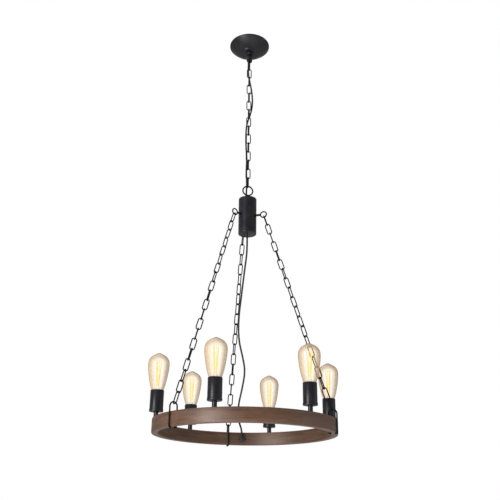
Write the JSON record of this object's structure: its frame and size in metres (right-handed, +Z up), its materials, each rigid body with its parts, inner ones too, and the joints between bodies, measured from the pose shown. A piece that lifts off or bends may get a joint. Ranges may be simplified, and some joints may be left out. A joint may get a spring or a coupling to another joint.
{
  "type": "wagon wheel chandelier",
  "caption": "Ceiling chandelier: round wooden ring with upright bulb sockets, hung on side chains from a drum hub and a single chain under a round canopy.",
  "frame": {"origin": "centre of the ceiling box screws, in the ceiling plane", "axes": "+Z up; the chandelier hangs towards -Z; +X through lamp 1"},
  "size_m": [0.5918, 0.5544, 1.4134],
  "materials": {
    "satin_black": "satin black powder coat",
    "ring_wood": "brown stained grain",
    "bulb_glass": "clear amber glass",
    "cap_metal": "nickelled brass screw cap",
    "black_plastic": "moulded black plastic",
    "zinc_steel": "zinc plated",
    "black_cord": "black cord"
  },
  "bodies": {
    "ceiling_plate": {"ceiling_bracket": "zinc_steel", "canopy_nipple": "zinc_steel", "lock_nut": "zinc_steel", "canopy": "satin_black", "cover_nut": "satin_black", "canopy_collar": "satin_black", "canopy_loop": "satin_black"},
    "chain": {"hanging_chain": "satin_black", "cord_upper": "black_cord"},
    "hub": {"hub_loop": "satin_black", "hub_loop_nut": "zinc_steel", "hub_shell": "satin_black", "hub_top_cap": "satin_black", "hub_bottom_cap": "satin_black", "eye_bolt_1": "satin_black", "eye_bolt_2": "satin_black", "eye_bolt_3": "satin_black", "eye_bolt_nuts": "zinc_steel", "cord_lower": "black_cord"},
    "wheel": {"ring": "ring_wood", "stirrup_1": "satin_black", "stirrup_2": "satin_black", "stirrup_3": "satin_black", "cord_gland": "black_plastic", "lamp_stem_1": "satin_black", "lamp_cup_1": "satin_black", "lampholder_1": "black_plastic", "lamp_stem_2": "satin_black", "lamp_cup_2": "satin_black", "lampholder_2": "black_plastic", "lamp_stem_3": "satin_black", "lamp_cup_3": "satin_black", "lampholder_3": "black_plastic", "lamp_stem_4": "satin_black", "lamp_cup_4": "satin_black", "lampholder_4": "black_plastic", "lamp_stem_5": "satin_black", "lamp_cup_5": "satin_black", "lampholder_5": "black_plastic", "lamp_stem_6": "satin_black", "lamp_cup_6": "satin_black", "lampholder_6": "black_plastic"},
    "side_chain_1": {"side_chain_1": "satin_black"},
    "side_chain_2": {"side_chain_2": "satin_black"},
    "side_chain_3": {"side_chain_3": "satin_black"},
    "bulb_1": {"bulb_cap_1": "cap_metal", "bulb_glass_1": "bulb_glass"},
    "bulb_2": {"bulb_cap_2": "cap_metal", "bulb_glass_2": "bulb_glass"},
    "bulb_3": {"bulb_cap_3": "cap_metal", "bulb_glass_3": "bulb_glass"},
    "bulb_4": {"bulb_cap_4": "cap_metal", "bulb_glass_4": "bulb_glass"},
    "bulb_5": {"bulb_cap_5": "cap_metal", "bulb_glass_5": "bulb_glass"},
    "bulb_6": {"bulb_cap_6": "cap_metal", "bulb_glass_6": "bulb_glass"}
  },
  "joints": [
    {"name": "chain_swing", "type": "hinge", "parent": "ceiling_plate", "child": "chain", "pos_m": [0, 0, -0.0733], "axis": [1, 0, 0], "range_deg": [-15, 15]},
    {"name": "hub_swing", "type": "hinge", "parent": "chain", "child": "hub", "pos_m": [0, 0, -0.58885], "axis": [0, 1, 0], "range_deg": [-12, 12], "deforming": ["cord_upper"]},
    {"name": "wheel_twist", "type": "hinge", "parent": "hub", "child": "wheel", "pos_m": [0, 0, -1], "axis": [0, 0, 1], "range_deg": [-10, 10], "stiffness_Nm_per_rad": 1, "deforming": ["cord_lower"]},
    {"name": "side_chain_turn_1", "type": "hinge", "parent": "hub", "child": "side_chain_1", "pos_m": [0, 0.0573, -0.69675], "axis": [0, 0, 1], "range_deg": [-13, 13]},
    {"name": "side_chain_turn_2", "type": "hinge", "parent": "hub", "child": "side_chain_2", "pos_m": [-0.04962, -0.02865, -0.69675], "axis": [0, 0, 1], "range_deg": [-13, 13]},
    {"name": "side_chain_turn_3", "type": "hinge", "parent": "hub", "child": "side_chain_3", "pos_m": [0.04962, -0.02865, -0.69675], "axis": [0, 0, 1], "range_deg": [-13, 13]},
    {"name": "bulb_lift_1", "type": "slide", "parent": "wheel", "child": "bulb_1", "axis": [0, 0, 1], "range_m": [0, 0.03]},
    {"name": "bulb_lift_2", "type": "slide", "parent": "wheel", "child": "bulb_2", "axis": [0, 0, 1], "range_m": [0, 0.03]},
    {"name": "bulb_lift_3", "type": "slide", "parent": "wheel", "child": "bulb_3", "axis": [0, 0, 1], "range_m": [0, 0.03]},
    {"name": "bulb_lift_4", "type": "slide", "parent": "wheel", "child": "bulb_4", "axis": [0, 0, 1], "range_m": [0, 0.03]},
    {"name": "bulb_lift_5", "type": "slide", "parent": "wheel", "child": "bulb_5", "axis": [0, 0, 1], "range_m": [0, 0.03]},
    {"name": "bulb_lift_6", "type": "slide", "parent": "wheel", "child": "bulb_6", "axis": [0, 0, 1], "range_m": [0, 0.03]}
  ],
  "couplings": [
    {"joint": "side_chain_turn_1", "follows": "wheel_twist", "ratio": 1.26},
    {"joint": "side_chain_turn_2", "follows": "wheel_twist", "ratio": 1.26},
    {"joint": "side_chain_turn_3", "follows": "wheel_twist", "ratio": 1.26}
  ]
}
